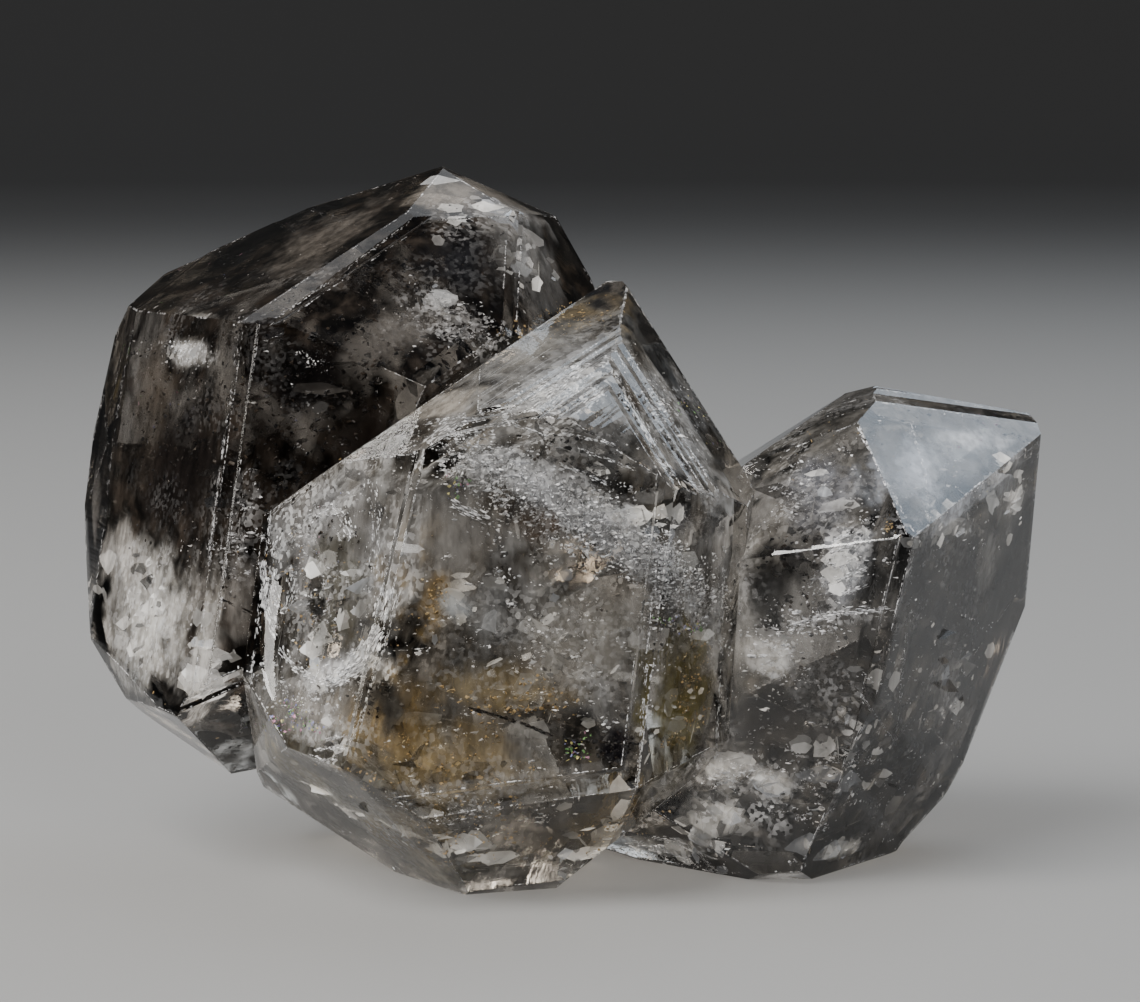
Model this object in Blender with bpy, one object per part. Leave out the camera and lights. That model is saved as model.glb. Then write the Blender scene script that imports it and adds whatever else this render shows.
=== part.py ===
# Cluster of three intergrown, doubly terminated quartz crystals.
# Units are metres, +Z is up, and the cluster rests on the plane z = 0.
# Each crystal is a block cleaved along the faces of quartz: six prism faces around its long
# axis and six rhombohedral faces at each end, with a few stepped growth faces between them.

import math

import bmesh
import bpy
from mathutils import Matrix, Vector

MM = 0.001
RHOMB_LEAN = math.radians(38.2)      # rhombohedral face normal above the prism normals
BLOCK_SIZE = 0.120                   # rough block that a crystal is cleaved from
FLOOR_TRIM = 0.05                    # mm taken off the lowest points to make the flat spots
CUT_TOLERANCE = 1e-8
WELD_DISTANCE = 2e-6
FLAT_ANGLE = math.radians(0.02)
COLLECTION_NAME = "herkimer_diamond"
CUTTER_COLLECTION_NAME = "cutters"
NODE_NAME = "crystal_cluster"

# Distances are in millimetres from the crystal's centre to the face, directions in degrees.
# heading turns from +X towards +Y, rise is up from the ground plane.
# A step takes a strip off an edge: first face, its depth, second face, its depth.
LEFT_CRYSTAL = {
    "centre": (-16.0, 16.0, 25.0),
    "long_axis": (21, 64),
    "spin": 3,
    "prism": (14.5, None, 20.0, None, 16.0, 11.7),
    "upper_end": (None, 16.2, None, 16.7, 17.5, 18.0),
    "lower_end": (17.4, 10.5, 20.0, 19.5, 23.3, 16.2),
    "growth": {
        "left_strip": (-160, 11, 15.6),
        "left_shoulder": (170, 34, 21.0),
        "front_left": (-151, 12, 14.4),
        "crown_left": (-105, 61, 18.1),
        "crown_right": (-14, 67, 22.9),
        "left_low": (171, -17, 20.4),
        "foot_left": (-153, -50, 21.8),
        "heel_left": (180, -41, 21.1),
        "right_shoulder": (-5, 20, 20.9),
        "brow": (-76, 69, 19.9),
        "back": (98, 8, 14.2),
        "back_left": (128, -8, 17.4),
    },
    "steps": (
        ("upper_end_3", 0.9, "upper_end_4", 0.25),
        ("front_left", 0.8, "prism_4", 0.25),
        ("prism_4", 1.4, "lower_end_5", 0.3),
        ("upper_end_5", 0.25, "upper_end_4", 0.9),
        ("back", 0.5, "prism_2", 1.6),
        ("back", 0.3, "upper_end_1", 1.1),
    ),
}
CENTRE_CRYSTAL = {
    "centre": (-5.0, 4.0, 20.0),
    "long_axis": (-31, -7),
    "spin": 17,
    "prism": (22.5, 7.5, None, None, None, 21.3),
    "upper_end": (None, None, 18.4, 18.6, 15.6, 20.9),
    "lower_end": (24.6, None, None, 12.8, None, None),
    "growth": {
        "foot_right": (-28, -36, 19.6),
        "right_band": (-34, -2, 16.9),
        "crown_right": (-16, 39, 17.5),
        "foot_front": (-71, -60, 22.2),
        "resting_face": (0, -90, 20.0),
        "left_band": (-140, 15, 15.9),
        "left_edge": (170, 4, 15.2),
        "right_edge": (-9, -3, 17.4),
        "foot_left": (-146, -46, 19.9),
        "crown": (-122, 74, 15.8),
        "crown_left": (-155, 60, 14.6),
        "toe_right": (-15, -50, 19.3),
        "toe_left": (-168, -58, 21.0),
        "left_low": (-160, -17, 19.5),
    },
    "steps": (
        ("upper_end_3", 0.4, "crown", 1.1),
        ("upper_end_3", 0.8, "crown", 0.8),
        ("upper_end_3", 1.9, "crown", 0.35),
        ("upper_end_3", 2.3, "crown", 0.15),
        ("upper_end_4", 0.5, "crown", 0.7),
        ("upper_end_4", 1.6, "crown", 0.3),
        ("upper_end_3", 0.4, "crown_right", 0.9),
        ("upper_end_3", 1.3, "crown_right", 0.6),
        ("upper_end_3", 1.7, "crown_right", 0.25),
        ("right_band", 0.8, "upper_end_4", 0.2),
        ("upper_end_4", 0.2, "upper_end_5", 1.0),
        ("left_band", 0.2, "upper_end_4", 0.6),
    ),
}
RIGHT_CRYSTAL = {
    "centre": (17.0, 8.0, 16.5),
    "long_axis": (-155, 11),
    "spin": 24,
    "prism": (19.2, None, 14.5, 15.8, 21.7, None),
    "upper_end": (18.4, None, None, 11.8, None, 21.1),
    "lower_end": (None, 9.8, None, 21.5, 14.3, 13.9),
    "growth": {
        "front_left": (-108, 3, 11.2),
        "shoulder_front": (-118, 45, 11.8),
        "toe_left": (169, -81, 18.0),
        "foot_front": (-85, -73, 18.8),
        "back_low": (60, -30, 13.9),
        "crown_band": (-28, 74, 16.4),
        "right_edge": (8, 1, 17.1),
        "resting_face": (94, -84, 16.7),
        "right_low": (-35, -22, 11.2),
        "foot_right": (32, -55, 16.3),
        "left_shoulder": (-143, 54, 12.8),
        "crown_left": (-159, 66, 12.7),
    },
    "steps": (
        ("crown_band", 0.25, "prism_2", 0.8),
        ("front_left", 0.25, "lower_end_1", 0.9),
        ("lower_end_1", 1.0, "right_low", 0.3),
        ("prism_3", 1.2, "lower_end_3", 0.3),
        ("prism_3", 0.3, "prism_2", 1.2),
    ),
}

# Shallow etched hollow on the left band of the centre crystal, and a nick on the right one.
HOLLOW = {"across": 3.7, "along": 6.2, "depth": 0.55, "height": 18.4, "side": -0.9, "lean": 14}
NICK = {"place": (31.2, 3.0, 17.2), "size": (2.4, 5.0, 2.6), "turn": (20, -24, 12)}


def clear_scene():
    for item in list(bpy.data.objects):
        bpy.data.objects.remove(item, do_unlink=True)


def direction(heading, rise):
    heading = math.radians(heading)
    rise = math.radians(rise)
    flat = math.cos(rise)
    return Vector((math.cos(heading) * flat, math.sin(heading) * flat, math.sin(rise)))


def crystal_turn(crystal):
    heading, rise = crystal["long_axis"]
    turn = Matrix.Rotation(math.radians(heading), 3, "Z")
    turn = turn @ Matrix.Rotation(math.radians(90 - rise), 3, "Y")
    return turn @ Matrix.Rotation(math.radians(crystal["spin"]), 3, "Z")


def quartz_normal(turn, step, lean):
    around = math.radians(60 * step)
    flat = math.cos(lean)
    return turn @ Vector((math.cos(around) * flat, math.sin(around) * flat, math.sin(lean)))


def crystal_faces(crystal):
    turn = crystal_turn(crystal)
    families = (("prism", 0.0), ("upper_end", RHOMB_LEAN), ("lower_end", -RHOMB_LEAN))
    faces = {}
    for family, lean in families:
        for step, distance in enumerate(crystal[family]):
            if distance is not None:
                faces[f"{family}_{step}"] = (quartz_normal(turn, step, lean), distance)
    for name, (heading, rise, distance) in crystal["growth"].items():
        faces[name] = (direction(heading, rise), distance)
    return faces


def cleave(mesh, point, normal):
    everything = mesh.verts[:] + mesh.edges[:] + mesh.faces[:]
    cut = bmesh.ops.bisect_plane(
        mesh, geom=everything, dist=CUT_TOLERANCE, plane_co=point, plane_no=normal,
        clear_outer=True)
    rim = [item for item in cut["geom_cut"] if isinstance(item, bmesh.types.BMEdge)]
    if rim:
        bmesh.ops.holes_fill(mesh, edges=rim, sides=0)


def block_at(centre):
    mesh = bmesh.new()
    bmesh.ops.create_cube(mesh, size=BLOCK_SIZE, matrix=Matrix.Translation(centre))
    return mesh


def grow_crystal(crystal):
    centre = Vector(crystal["centre"]) * MM
    mesh = block_at(centre)
    for normal, distance in crystal_faces(crystal).values():
        cleave(mesh, centre + normal * distance * MM, normal)
    return mesh


def edge_wedge(crystal, step):
    first, first_depth, second, second_depth = step
    centre = Vector(crystal["centre"]) * MM
    faces = crystal_faces(crystal)
    mesh = block_at(centre)
    for name, depth in ((first, first_depth), (second, second_depth)):
        normal, distance = faces[name]
        cleave(mesh, centre + normal * (distance - depth) * MM, -normal)
    return mesh


def hollow_tool():
    centre = Vector(CENTRE_CRYSTAL["centre"]) * MM
    normal, distance = crystal_faces(CENTRE_CRYSTAL)["left_band"]
    upward = (Vector((0, 0, 1)) - normal * normal.z).normalized()
    sideways = upward.cross(normal)
    lean = Matrix.Rotation(math.radians(HOLLOW["lean"]), 3, normal)
    place = centre + normal * distance * MM
    place += upward * (HOLLOW["height"] * MM - place.z)
    place += sideways * HOLLOW["side"] * MM
    frame = Matrix((lean @ sideways, lean @ upward, normal)).transposed().to_4x4()
    size = Matrix.Diagonal((HOLLOW["across"] * MM, HOLLOW["along"] * MM, HOLLOW["depth"] * MM, 1))
    mesh = bmesh.new()
    bmesh.ops.create_uvsphere(
        mesh, u_segments=36, v_segments=14, radius=1.0,
        matrix=Matrix.Translation(place) @ frame @ size)
    return mesh


def nick_tool():
    turn = Matrix.Identity(3)
    for axis, angle in zip("XYZ", NICK["turn"]):
        turn = Matrix.Rotation(math.radians(angle), 3, axis) @ turn
    size = Matrix.Diagonal((*[value * MM for value in NICK["size"]], 1))
    mesh = bmesh.new()
    bmesh.ops.create_cube(
        mesh, size=1.0,
        matrix=Matrix.Translation(Vector(NICK["place"]) * MM) @ turn.to_4x4() @ size)
    return mesh


def new_object(name, mesh, collection):
    bmesh.ops.recalc_face_normals(mesh, faces=mesh.faces[:])
    data = bpy.data.meshes.new(name)
    mesh.to_mesh(data)
    mesh.free()
    item = bpy.data.objects.new(name, data)
    collection.objects.link(item)
    return item


def combine(base, tool_mesh, operation, cutters):
    tool = new_object("tool", tool_mesh, cutters)
    tool.hide_render = True
    tool.display_type = "WIRE"
    modifier = base.modifiers.new("Combine", "BOOLEAN")
    modifier.object = tool
    modifier.operation = operation
    modifier.solver = "EXACT"
    evaluated = base.evaluated_get(bpy.context.evaluated_depsgraph_get())
    result = bpy.data.meshes.new_from_object(evaluated)
    base.modifiers.clear()
    base.data = result
    bpy.data.objects.remove(tool, do_unlink=True)


def stepped_crystal(name, crystal, cutters):
    base = new_object(name, grow_crystal(crystal), cutters)
    for step in crystal["steps"]:
        combine(base, edge_wedge(crystal, step), "DIFFERENCE", cutters)
    if crystal is CENTRE_CRYSTAL:
        combine(base, hollow_tool(), "DIFFERENCE", cutters)
    if crystal is RIGHT_CRYSTAL:
        combine(base, nick_tool(), "DIFFERENCE", cutters)
    mesh = bmesh.new()
    mesh.from_mesh(base.data)
    bpy.data.objects.remove(base, do_unlink=True)
    return mesh


def tidy_faces(mesh):
    bmesh.ops.remove_doubles(mesh, verts=mesh.verts[:], dist=WELD_DISTANCE)
    bmesh.ops.dissolve_limit(
        mesh, angle_limit=FLAT_ANGLE, use_dissolve_boundaries=False,
        verts=mesh.verts[:], edges=mesh.edges[:])
    bmesh.ops.dissolve_degenerate(mesh, dist=WELD_DISTANCE, edges=mesh.edges[:])
    bmesh.ops.triangulate(mesh, faces=mesh.faces[:])


def seat_on_floor(mesh):
    low = min(vertex.co.z for vertex in mesh.verts)
    xs = [vertex.co.x for vertex in mesh.verts]
    ys = [vertex.co.y for vertex in mesh.verts]
    shift = Vector((-(min(xs) + max(xs)) / 2, -(min(ys) + max(ys)) / 2, -low))
    bmesh.ops.translate(mesh, verts=mesh.verts[:], vec=shift)


def crystal_material():
    material = bpy.data.materials.new("clear_quartz")
    material.use_nodes = True
    shader = material.node_tree.nodes["Principled BSDF"]
    shader.inputs["Base Color"].default_value = (0.86, 0.84, 0.80, 1.0)
    shader.inputs["Metallic"].default_value = 0.0
    shader.inputs["Roughness"].default_value = 0.05
    shader.inputs["IOR"].default_value = 1.544
    shader.inputs["Transmission Weight"].default_value = 1.0
    return material


def build_cluster():
    clear_scene()
    cutters = bpy.data.collections.new(CUTTER_COLLECTION_NAME)
    bpy.context.scene.collection.children.link(cutters)
    shown = bpy.data.collections.new(COLLECTION_NAME)
    bpy.context.scene.collection.children.link(shown)
    centre = stepped_crystal("centre", CENTRE_CRYSTAL, cutters)
    cluster = new_object(NODE_NAME, centre, shown)
    combine(cluster, stepped_crystal("left", LEFT_CRYSTAL, cutters), "UNION", cutters)
    combine(cluster, stepped_crystal("right", RIGHT_CRYSTAL, cutters), "UNION", cutters)
    mesh = bmesh.new()
    mesh.from_mesh(cluster.data)
    bpy.data.objects.remove(cluster, do_unlink=True)
    cleave(mesh, Vector((0, 0, FLOOR_TRIM * MM)), Vector((0, 0, -1)))
    tidy_faces(mesh)
    seat_on_floor(mesh)
    cluster = new_object(NODE_NAME, mesh, shown)
    cluster.data.name = NODE_NAME
    cluster.data.materials.clear()
    cluster.data.materials.append(crystal_material())
    bpy.data.collections.remove(cutters)


build_cluster()
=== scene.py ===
import math
import random

import bmesh
import bpy
import numpy as np
from mathutils import Matrix, Vector, noise
from mathutils.bvhtree import BVHTree


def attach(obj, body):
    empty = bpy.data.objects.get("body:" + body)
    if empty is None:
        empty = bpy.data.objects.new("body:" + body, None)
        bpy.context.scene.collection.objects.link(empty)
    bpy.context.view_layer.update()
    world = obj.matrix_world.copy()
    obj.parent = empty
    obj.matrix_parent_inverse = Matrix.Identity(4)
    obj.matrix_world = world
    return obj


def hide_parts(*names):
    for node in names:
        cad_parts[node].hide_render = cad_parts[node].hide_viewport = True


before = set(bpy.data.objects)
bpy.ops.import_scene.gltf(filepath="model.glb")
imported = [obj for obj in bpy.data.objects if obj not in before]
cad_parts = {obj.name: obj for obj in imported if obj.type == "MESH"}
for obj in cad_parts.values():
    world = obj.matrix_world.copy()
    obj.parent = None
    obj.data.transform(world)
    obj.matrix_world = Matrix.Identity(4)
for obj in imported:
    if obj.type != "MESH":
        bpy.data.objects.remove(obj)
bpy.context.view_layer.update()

mm = 0.001
scene = bpy.context.scene
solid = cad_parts["crystal_cluster"]

picture = {                              # where the cluster is seen from, m
    "camera": Vector((0.001135, -0.298544, 0.06145)),
    "target": Vector((0.001135, -0.008744, 0.02585)),
    "lens": 135,
    "sensor": 36,
    "size": (1140, 1002),
}
crystals = {                             # a point on one outer face of each, mm
    "left": (-25.6, 0.9, 35.7),
    "centre": (0.5, -19.6, 23.3),
    "right": (18.7, -12.4, 22.3),
}
crystalNames = list(crystals)


def linkObject(name, mesh, material=None, smooth=False):
    data = mesh
    if isinstance(mesh, bmesh.types.BMesh):
        data = bpy.data.meshes.new(name)
        mesh.to_mesh(data)
        mesh.free()
    data.validate()
    item = bpy.data.objects.new(name, data)
    scene.collection.objects.link(item)
    if smooth:
        data.shade_smooth()
    if material:
        data.materials.append(material)
    return item


def blend(a, b, share):
    return a + (b - a) * share


def smoothStep(low, high, value):
    share = min(max((value - low) / (high - low), 0), 1)
    return share * share * (3 - 2 * share)


print("crystals of the cluster")

plain = bmesh.new()
plain.from_mesh(solid.data)
bmesh.ops.remove_doubles(plain, verts=plain.verts[:], dist=0.005 * mm)
plain.faces.index_update()
plain.faces.ensure_lookup_table()
plainTree = BVHTree.FromBMesh(plain)


def joinBetween(edge):
    return not edge.is_convex and edge.calc_face_angle(0) > math.radians(12)


def facesByCrystal():
    owner = [None] * len(plain.faces)
    for name, place in crystals.items():
        waiting = [plain.faces[plainTree.find_nearest(Vector(place) * mm)[2]]]
        while waiting:
            face = waiting.pop()
            if owner[face.index] is None:
                owner[face.index] = name
                for edge in face.edges:
                    if not joinBetween(edge):
                        waiting += [f for f in edge.link_faces if owner[f.index] is None]
    for turn in range(40):                # small pits and steps go with the face beside them
        for face in plain.faces:
            if owner[face.index] is None:
                near = [owner[f.index] for e in face.edges for f in e.link_faces]
                near = [name for name in near if name]
                if near:
                    owner[face.index] = near[0]
    return owner


owner = facesByCrystal()


def crystalAt(point):
    return owner[plainTree.find_nearest(point)[2]] or "centre"


def sightLine(x, y):
    wide, high = picture["size"]
    turn = (picture["target"] - picture["camera"]).to_track_quat("-Z", "Y")
    step = picture["sensor"] / picture["lens"] / wide
    return (turn @ Vector(((x - wide / 2) * step, (high / 2 - y) * step, -1))).normalized()


def seenAt(x, y, depth=0.0):              # the point that shows at x, y of the picture, depth mm down
    ray = sightLine(x, y)
    hit, normal, index, far = plainTree.ray_cast(picture["camera"], ray)
    if hit is None:
        return None
    slow = 1 / 1.544
    slant = -ray.dot(normal)
    bent = ray * slow + normal * (slow * slant - math.sqrt(1 - slow * slow * (1 - slant * slant)))
    return hit + bent * depth * mm


def patchSeen(x, y, depth, across, high, turn):     # an ellipse of the picture, laid on a sheet
    turn = math.radians(turn)
    reach = 4
    middle = seenAt(x, y, depth)
    side = seenAt(x + reach * math.cos(turn), y + reach * math.sin(turn), depth)
    down = seenAt(x - reach * math.sin(turn), y + reach * math.cos(turn), depth)
    if not (middle and side and down):
        return None
    wide = (side - middle) * across / reach
    tall = (down - middle) * high / reach
    thick = wide.cross(tall).normalized() * 1.6 * mm
    spread = Matrix((wide, tall, thick)).transposed()
    if abs(spread.determinant()) < 1e-14:
        return None
    return middle, spread.inverted(), 1.7 * max(wide.length, tall.length)


def paintedFacetShade(normal):                    # painted light and shade: each face a little lighter or darker by its direction, from -1 to 1
    return max(-1, min(1, 2.2 * noise.noise(normal * 2.7 + Vector((5, 1, 7)))))


def inside(point, margin=0.0):
    near, normal, index, far = plainTree.find_nearest(point)
    return (point - near).dot(normal) < 0 and far >= margin * mm


def planesOf(name, smallest=2.0):
    planes = []
    for face in plain.faces:
        if owner[face.index] != name:
            continue
        reach = face.normal.dot(face.verts[0].co)
        for known in planes:
            if known[0].dot(face.normal) > 0.9998:
                known[1] = max(known[1], reach)
                known[2] += face.calc_area()
                break
        else:
            planes.append([face.normal.copy(), reach, face.calc_area()])
    return [(n, d) for n, d, area in planes if area * 1e6 > smallest]


def cleave(mesh, point, normal):
    cut = bmesh.ops.bisect_plane(
        mesh, geom=mesh.verts[:] + mesh.edges[:] + mesh.faces[:], dist=1e-8,
        plane_co=point, plane_no=normal, clear_outer=True)
    rim = [e for e in cut["geom_cut"] if isinstance(e, bmesh.types.BMEdge)]
    if rim:
        bmesh.ops.holes_fill(mesh, edges=rim, sides=0)


def refine(mesh, longest):                # halves edges until none is longer, in mm
    bmesh.ops.triangulate(mesh, faces=mesh.faces[:])
    for turn in range(9):
        far = [e for e in mesh.edges if e.calc_length() > longest * mm]
        if not far:
            break
        bmesh.ops.subdivide_edges(mesh, edges=far, cuts=1, use_grid_fill=False)
        bmesh.ops.triangulate(mesh, faces=[f for f in mesh.faces if len(f.verts) > 3])


def grownInside(name, depth):             # the crystal's own form, depth mm under its faces
    mesh = bmesh.new()
    bmesh.ops.create_cube(mesh, size=0.2)
    for normal, reach in planesOf(name):
        cleave(mesh, normal * (reach - depth * mm), normal)
    return mesh


# shader groups


def newGroup(name, inputs, outputs):
    group = bpy.data.node_groups.new(name, "ShaderNodeTree")
    for label, kind, value in inputs:
        socket = group.interface.new_socket(label, in_out="INPUT", socket_type=kind)
        socket.default_value = value
    for label, kind in outputs:
        group.interface.new_socket(label, in_out="OUTPUT", socket_type=kind)
    return group, group.nodes.new("NodeGroupInput"), group.nodes.new("NodeGroupOutput")


def cloudGroup():                         # ragged patches, from none at 0 to full at 1
    group, given, result = newGroup(
        "cloud",
        (("Scale", "NodeSocketFloat", 400.0), ("Stretch", "NodeSocketVector", (1, 1, 1)),
         ("Low", "NodeSocketFloat", 0.4), ("High", "NodeSocketFloat", 0.6)),
        (("Mask", "NodeSocketFloat"),))
    place = group.nodes.new("ShaderNodeTexCoord")
    mapping = group.nodes.new("ShaderNodeMapping")
    cloud = group.nodes.new("ShaderNodeTexNoise")
    cloud.inputs["Detail"].default_value = 2.5
    cloud.inputs["Roughness"].default_value = 0.68
    range_ = group.nodes.new("ShaderNodeMapRange")
    range_.interpolation_type = "SMOOTHSTEP"
    group.links.new(place.outputs["Object"], mapping.inputs["Vector"])
    group.links.new(given.outputs["Stretch"], mapping.inputs["Scale"])
    group.links.new(mapping.outputs[0], cloud.inputs["Vector"])
    group.links.new(given.outputs["Scale"], cloud.inputs["Scale"])
    group.links.new(cloud.outputs["Fac"], range_.inputs["Value"])
    group.links.new(given.outputs["Low"], range_.inputs["From Min"])
    group.links.new(given.outputs["High"], range_.inputs["From Max"])
    group.links.new(range_.outputs["Result"], result.inputs["Mask"])
    return group


cloudNodes = cloudGroup()


def newMaterial(name):
    material = bpy.data.materials.new(name)
    material.use_nodes = True
    tree = material.node_tree
    return material, tree, tree.nodes["Principled BSDF"]


def addCloud(tree, scale, low, high, stretch=(1, 1, 1)):
    node = tree.nodes.new("ShaderNodeGroup")
    node.node_tree = cloudNodes
    node.inputs["Scale"].default_value = scale
    node.inputs["Low"].default_value = low
    node.inputs["High"].default_value = high
    node.inputs["Stretch"].default_value = stretch
    return node.outputs["Mask"]


def addMix(tree, share, first, second, mode="MIX"):
    node = tree.nodes.new("ShaderNodeMix")
    node.data_type = "RGBA"
    node.blend_type = mode
    for socket, value in ((node.inputs[0], share), (node.inputs[6], first), (node.inputs[7], second)):
        if isinstance(value, bpy.types.NodeSocket):
            tree.links.new(value, socket)
        else:
            socket.default_value = value
    return node.outputs[2]


def addMath(tree, kind, first, second):
    node = tree.nodes.new("ShaderNodeMath")
    node.operation = kind
    for socket, value in zip(node.inputs, (first, second)):
        if isinstance(value, bpy.types.NodeSocket):
            tree.links.new(value, socket)
        else:
            socket.default_value = value
    return node.outputs[0]


def addAttribute(tree, name):
    node = tree.nodes.new("ShaderNodeAttribute")
    node.attribute_name = name
    return node


def paint(mesh, name, colours):           # one colour for each vertex
    layer = mesh.color_attributes.new(name, "FLOAT_COLOR", "POINT")
    layer.data.foreach_set("color", np.array(colours, dtype=np.float32).ravel())


print("outer faces")

shellLook = {
    "weld": 0.13,            # mm, small edges closed before the rounding
    "flatAngle": 0.4,        # degrees, faces this level with each other are one face
    "rounding": 0.05,        # mm taken off each sharp edge
    "sharpFrom": 14,         # degrees
    "longestEdge": 1.1,      # mm
    "ripple": 0.012,         # mm, the soft unevenness of the faces
    "patches": (260, 0.38, 0.62),     # clouded patches to the metre, from none to full
    "ior": 1.544,
    "roughness": 0.025,
    "absorbColour": (0.74, 0.69, 0.62),
    "absorbDensity": 38.0,
    "tints": {               # light let through: the clear share, and the clouded share
        "left": ((0.58, 0.545, 0.51), (0.10, 0.09, 0.08)),
        "centre": ((0.88, 0.87, 0.84), (0.62, 0.595, 0.55)),
        "right": ((0.72, 0.705, 0.69), (0.20, 0.19, 0.18)),
    },
    # painted light and shade: how much lighter or darker each face is painted
    "paintedFacetShade": 0.22,
    "growthAxes": {          # the way each crystal grew, for the fine lines across its faces
        "left": (0.41, 0.16, 0.90), "centre": (0.85, -0.51, -0.12), "right": (-0.89, -0.41, 0.19),
    },
    "growthLines": 260,      # fine lines to the metre
    "lineHeight": 0.02,      # mm
    "clearAndReflectionSpots": (          # seen at x, y with a radius in mm and a share; the tint is lighter there: clearer crystal, and painted reflections at the bottom left of the left crystal and on the right one
        (150, 625, 5.0, 0.8), (205, 650, 3.0, 0.6), (120, 560, 3.0, 0.5), (545, 260, 4.5, 0.8),
        (455, 190, 3.0, 0.7), (185, 355, 2.0, 0.8), (85, 500, 2.0, 0.6), (460, 270, 2.0, 0.3),
        (950, 470, 5.0, 0.7), (650, 855, 3.5, 1.0), (770, 655, 2.5, 0.9), (725, 795, 4.5, 1.0),
        (1010, 500, 2.5, 0.7), (840, 850, 1.5, 0.9), (945, 530, 2.0, 0.7),
    ),
    "ochreSpots": (
        (520, 318, 2.5, 0.8), (590, 305, 3.0, 0.7), (640, 350, 2.5, 0.5), (715, 420, 2.5, 0.6),
        (430, 745, 3.5, 0.8), (380, 700, 2.5, 0.5), (500, 710, 3.0, 0.5), (410, 835, 3.5, 0.7),
        (520, 830, 3.5, 0.5), (620, 830, 3.0, 0.8), (690, 690, 3.0, 0.9), (665, 760, 2.5, 0.8),
        (330, 800, 3.0, 0.5), (440, 600, 2.5, 0.6), (600, 600, 2.0, 0.2), (740, 600, 2.0, 0.5),
    ),
    "ochre": (0.66, 0.54, 0.34),
}


def spotsAt(spots):
    found = []
    for x, y, radius, share in spots:
        point = seenAt(x, y)
        if point:
            found.append((point, radius * mm, share))
    return found


def strongest(spots, point):
    most = 0
    for centre, radius, share in spots:
        far = (point - centre).length / radius
        if far < 1.6:
            most = max(most, share * (1 - smoothStep(0.3, 1.6, far)))
    return most


def makeShell():
    mesh = plain.copy()
    bmesh.ops.remove_doubles(mesh, verts=mesh.verts[:], dist=shellLook["weld"] * mm)
    bmesh.ops.dissolve_limit(
        mesh, angle_limit=math.radians(shellLook["flatAngle"]),
        verts=mesh.verts[:], edges=mesh.edges[:])
    sharp = [e for e in mesh.edges
             if e.is_manifold and math.degrees(e.calc_face_angle(0)) > shellLook["sharpFrom"]]
    bmesh.ops.bevel(
        mesh, geom=sharp, affect="EDGES", offset=shellLook["rounding"] * mm,
        offset_type="OFFSET", segments=2, profile=0.5, clamp_overlap=True, material=-1)
    refine(mesh, shellLook["longestEdge"])
    mesh.normal_update()
    for vertex in mesh.verts:
        if vertex.co.z > 0.5 * mm:
            vertex.co += vertex.normal * noise.noise(vertex.co * 190) * shellLook["ripple"] * mm
    return mesh


# the crystals' tints, with painted light and shade on each face and painted reflections at the clear spots
def paintShell(item):
    clear, ochre = spotsAt(shellLook["clearAndReflectionSpots"]), spotsAt(shellLook["ochreSpots"])
    stain = Vector(shellLook["ochre"])
    lights, darks, growth = [], [], []
    for vertex in item.data.vertices:
        name = crystalAt(vertex.co)
        axis = Vector(shellLook["growthAxes"][name]).normalized()
        along = vertex.co.dot(axis)
        aside = (vertex.co - axis * along) * 0.06
        growth.append((along * 10, aside.x * 10, aside.y * 10 + aside.z * 7, 1))
        light, dark = (Vector(c) for c in shellLook["tints"][name])
        clearAndReflection = strongest(clear, vertex.co)
        # painted light and shade: each face's tints a little lighter or darker
        face = 1 + shellLook["paintedFacetShade"] * paintedFacetShade(vertex.normal)
        light, dark = light * min(face, 1.25), dark * face
        # a lighter tint at these spots: clearer crystal, and painted reflection
        light = light.lerp(Vector((0.96, 0.95, 0.93)), clearAndReflection * 0.8)
        dark = dark.lerp(Vector((0.75, 0.73, 0.70)), clearAndReflection)
        if name == "centre":
            drift = noise.noise(vertex.co * 160 + Vector((4, 9, 2)))
            rust = min(1, strongest(ochre, vertex.co) + 0.35 * smoothStep(0.1, 0.5, drift))
            light = light.lerp(stain, rust * 0.8)
            dark = dark.lerp(stain * 0.45, rust * 0.8)
        size, low, high = shellLook["patches"]
        place = Vector((vertex.co.x, vertex.co.y, vertex.co.z * 0.6)) * size
        patch = 0.5 * smoothStep(low, high, 0.5 + 0.5 * noise.fractal(place, 0.8, 2.1, 4))
        lights.append((*dark.lerp(light, patch + 0.5), 1))
        darks.append((*dark.lerp(light, patch), 1))
    paint(item.data, "clearTintAndPaintedLight", lights)
    paint(item.data, "cloudTintAndPaintedLight", darks)
    paint(item.data, "growth", growth)


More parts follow.
